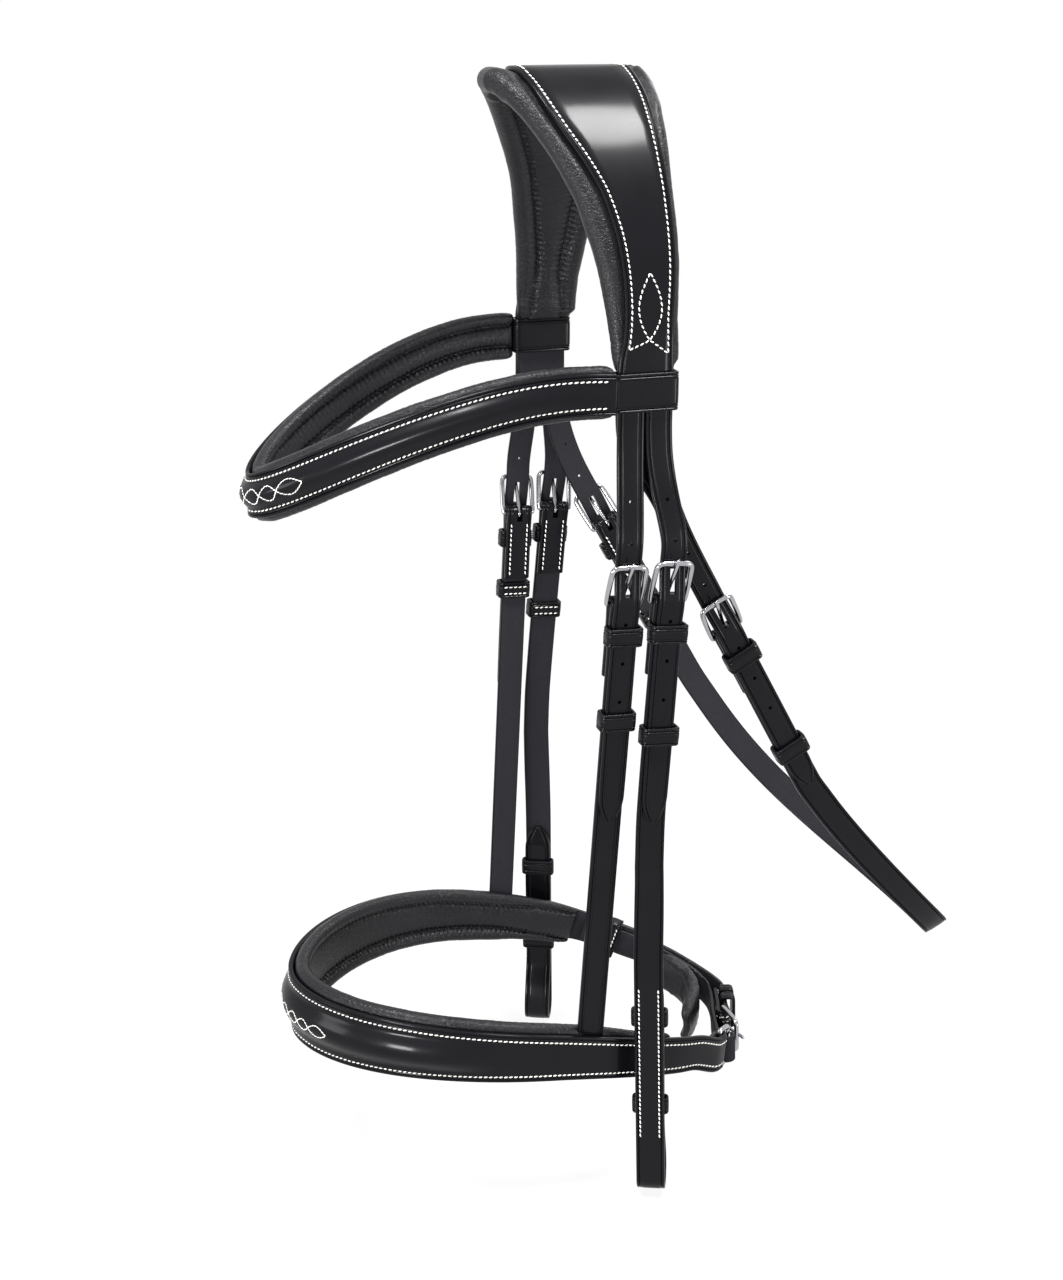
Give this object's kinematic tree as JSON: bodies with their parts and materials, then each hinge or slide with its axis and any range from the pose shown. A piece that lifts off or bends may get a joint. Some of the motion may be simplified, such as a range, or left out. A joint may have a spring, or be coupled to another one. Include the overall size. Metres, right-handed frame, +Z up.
{
  "type": "anatomic snaffle bridle",
  "caption": "Padded anatomic horse bridle with split crown, shaped raised browband, crank noseband, throatlatch, and cheekpieces with looped hook-stud bit ends.",
  "frame": {"origin": "centre of the poll seat, the flat channel under the padding at the top of the headpiece", "axes": "+Z up along the hanging bridle, +X towards the horse's near (left) side, -Y towards the nose"},
  "size_m": [0.1966, 0.365, 0.5485],
  "materials": {
    "bridle_leather": "smooth black bridle leather, polished",
    "padding_leather": "soft grained black lining leather over padding, satin",
    "stainless_steel": "polished silver-coloured steel"
  },
  "bodies": {
    "bridle": {"chin_pad": "padding_leather", "crank_keeper": "bridle_leather", "crank_strap": "bridle_leather", "far_bit_keeper_lower": "bridle_leather", "far_bit_keeper_upper": "bridle_leather", "far_cheek_keeper": "bridle_leather", "far_cheekpiece": "bridle_leather", "far_hanger_keeper": "bridle_leather", "far_hook_stud": "stainless_steel", "far_noseband_hanger": "bridle_leather", "far_throat_keeper": "bridle_leather", "far_throatlatch_billet": "bridle_leather", "headpiece_leather": "bridle_leather", "headpiece_padding": "padding_leather", "near_bit_keeper_lower": "bridle_leather", "near_bit_keeper_upper": "bridle_leather", "near_cheek_keeper": "bridle_leather", "near_cheekpiece": "bridle_leather", "near_hanger_keeper": "bridle_leather", "near_hook_stud": "stainless_steel", "near_noseband_hanger": "bridle_leather", "near_throat_keeper": "bridle_leather", "near_throatlatch_billet": "bridle_leather", "noseband_leather": "bridle_leather", "noseband_padding": "padding_leather", "throatlatch": "bridle_leather"},
    "browband": {"browband_leather": "bridle_leather", "browband_padding": "padding_leather", "near_browband_loop": "bridle_leather", "far_browband_loop": "bridle_leather"},
    "near_cheek_buckle_frame": {"near_cheek_buckle_frame": "stainless_steel"},
    "near_cheek_buckle_tongue": {"near_cheek_buckle_tongue": "stainless_steel"},
    "near_cheek_runner": {"near_cheek_runner": "bridle_leather"},
    "far_cheek_buckle_frame": {"far_cheek_buckle_frame": "stainless_steel"},
    "far_cheek_buckle_tongue": {"far_cheek_buckle_tongue": "stainless_steel"},
    "far_cheek_runner": {"far_cheek_runner": "bridle_leather"},
    "near_hanger_buckle_frame": {"near_hanger_buckle_frame": "stainless_steel"},
    "near_hanger_buckle_tongue": {"near_hanger_buckle_tongue": "stainless_steel"},
    "near_hanger_runner": {"near_hanger_runner": "bridle_leather"},
    "far_hanger_buckle_frame": {"far_hanger_buckle_frame": "stainless_steel"},
    "far_hanger_buckle_tongue": {"far_hanger_buckle_tongue": "stainless_steel"},
    "far_hanger_runner": {"far_hanger_runner": "bridle_leather"},
    "near_throat_buckle_frame": {"near_throat_buckle_frame": "stainless_steel"},
    "near_throat_buckle_tongue": {"near_throat_buckle_tongue": "stainless_steel"},
    "near_throat_runner": {"near_throat_runner": "bridle_leather"},
    "far_throat_buckle_frame": {"far_throat_buckle_frame": "stainless_steel"},
    "far_throat_buckle_tongue": {"far_throat_buckle_tongue": "stainless_steel"},
    "far_throat_runner": {"far_throat_runner": "bridle_leather"},
    "crank_buckle_frame": {"crank_buckle_frame": "stainless_steel"},
    "crank_buckle_tongue": {"crank_buckle_tongue": "stainless_steel"},
    "crank_runner": {"crank_runner": "bridle_leather"},
    "noseband_runner": {"noseband_runner": "bridle_leather"},
    "crank_dee": {"crank_dee": "stainless_steel"}
  },
  "joints": [
    {"name": "browband_slide", "type": "slide", "parent": "bridle", "child": "browband", "axis": [0, 0, 1], "range_m": [-0.0075, 0.0015]},
    {"name": "near_cheek_buckle_rock", "type": "hinge", "parent": "bridle", "child": "near_cheek_buckle_frame", "pos_m": [0.0825, 0.0254, -0.2216], "axis": [0, 0.9974, -0.0722], "range_deg": [0, 4]},
    {"name": "near_cheek_tongue_lift", "type": "hinge", "parent": "near_cheek_buckle_frame", "child": "near_cheek_buckle_tongue", "pos_m": [0.0825, 0.0254, -0.2216], "axis": [0, 0.9974, -0.0722], "range_deg": [0, 4]},
    {"name": "near_cheek_runner_slide", "type": "slide", "parent": "bridle", "child": "near_cheek_runner", "axis": [-0.0301, 0.0722, 0.9969], "range_m": [-0.021, 0.021]},
    {"name": "far_cheek_buckle_rock", "type": "hinge", "parent": "bridle", "child": "far_cheek_buckle_frame", "pos_m": [-0.0825, 0.0254, -0.2216], "axis": [0, -0.9974, 0.0722], "range_deg": [0, 4]},
    {"name": "far_cheek_tongue_lift", "type": "hinge", "parent": "far_cheek_buckle_frame", "child": "far_cheek_buckle_tongue", "pos_m": [-0.0825, 0.0254, -0.2216], "axis": [0, -0.9974, 0.0722], "range_deg": [0, 4]},
    {"name": "far_cheek_runner_slide", "type": "slide", "parent": "bridle", "child": "far_cheek_runner", "axis": [0.0301, 0.0722, 0.9969], "range_m": [-0.025, 0.015]},
    {"name": "near_hanger_buckle_rock", "type": "hinge", "parent": "bridle", "child": "near_hanger_buckle_frame", "pos_m": [0.0805, 0.0044, -0.2216], "axis": [0, 0.9986, -0.0534], "range_deg": [0, 4]},
    {"name": "near_hanger_tongue_lift", "type": "hinge", "parent": "near_hanger_buckle_frame", "child": "near_hanger_buckle_tongue", "pos_m": [0.0805, 0.0044, -0.2216], "axis": [0, 0.9986, -0.0534], "range_deg": [0, 4]},
    {"name": "near_hanger_runner_slide", "type": "slide", "parent": "bridle", "child": "near_hanger_runner", "axis": [0.0242, 0.0534, 0.9983], "range_m": [-0.026, 0.014]},
    {"name": "far_hanger_buckle_rock", "type": "hinge", "parent": "bridle", "child": "far_hanger_buckle_frame", "pos_m": [-0.0805, 0.0044, -0.2216], "axis": [0, -0.9986, 0.0534], "range_deg": [0, 4]},
    {"name": "far_hanger_tongue_lift", "type": "hinge", "parent": "far_hanger_buckle_frame", "child": "far_hanger_buckle_tongue", "pos_m": [-0.0805, 0.0044, -0.2216], "axis": [0, -0.9986, 0.0534], "range_deg": [0, 4]},
    {"name": "far_hanger_runner_slide", "type": "slide", "parent": "bridle", "child": "far_hanger_runner", "axis": [-0.0242, 0.0534, 0.9983], "range_m": [-0.035, 0.002]},
    {"name": "near_throat_buckle_rock", "type": "hinge", "parent": "bridle", "child": "near_throat_buckle_frame", "pos_m": [0.0666, 0.063, -0.2456], "axis": [0, 0.875, 0.4842], "range_deg": [0, 4]},
    {"name": "near_throat_tongue_lift", "type": "hinge", "parent": "near_throat_buckle_frame", "child": "near_throat_buckle_tongue", "pos_m": [0.0666, 0.063, -0.2456], "axis": [0, 0.875, 0.4842], "range_deg": [0, 4]},
    {"name": "near_throat_runner_slide", "type": "slide", "parent": "bridle", "child": "near_throat_runner", "axis": [0.0208, -0.4841, 0.8748], "range_m": [-0.011, 0.028]},
    {"name": "far_throat_buckle_rock", "type": "hinge", "parent": "bridle", "child": "far_throat_buckle_frame", "pos_m": [-0.064, 0.049, -0.2266], "axis": [0, -0.8849, -0.4657], "range_deg": [0, 4]},
    {"name": "far_throat_tongue_lift", "type": "hinge", "parent": "far_throat_buckle_frame", "child": "far_throat_buckle_tongue", "pos_m": [-0.064, 0.049, -0.2266], "axis": [0, -0.8849, -0.4657], "range_deg": [0, 4]},
    {"name": "far_throat_runner_slide", "type": "slide", "parent": "bridle", "child": "far_throat_runner", "axis": [-0.1474, -0.4607, 0.8753], "range_m": [-0.022, 0.018]},
    {"name": "crank_buckle_rock", "type": "hinge", "parent": "bridle", "child": "crank_buckle_frame", "pos_m": [0.016, 0.0925, -0.4951], "axis": [-0.1048, 0, 0.9945], "range_deg": [0, 4]},
    {"name": "crank_tongue_lift", "type": "hinge", "parent": "crank_buckle_frame", "child": "crank_buckle_tongue", "pos_m": [0.016, 0.0925, -0.4951], "axis": [-0.1048, 0, 0.9945], "range_deg": [0, 4]},
    {"name": "crank_runner_slide", "type": "slide", "parent": "bridle", "child": "crank_runner", "axis": [0.9425, -0.319, 0.0993], "range_m": [-0.003, 0.002]},
    {"name": "noseband_runner_slide", "type": "slide", "parent": "bridle", "child": "noseband_runner", "axis": [0.4166, 0.8581, -0.3001], "range_m": [-0.006, 0.006]},
    {"name": "crank_dee_swing", "type": "hinge", "parent": "bridle", "child": "crank_dee", "pos_m": [0.0525, 0.0733, -0.4881], "axis": [0.1717, -0.1717, -0.9701], "range_deg": [-1.5, 3]}
  ]
}
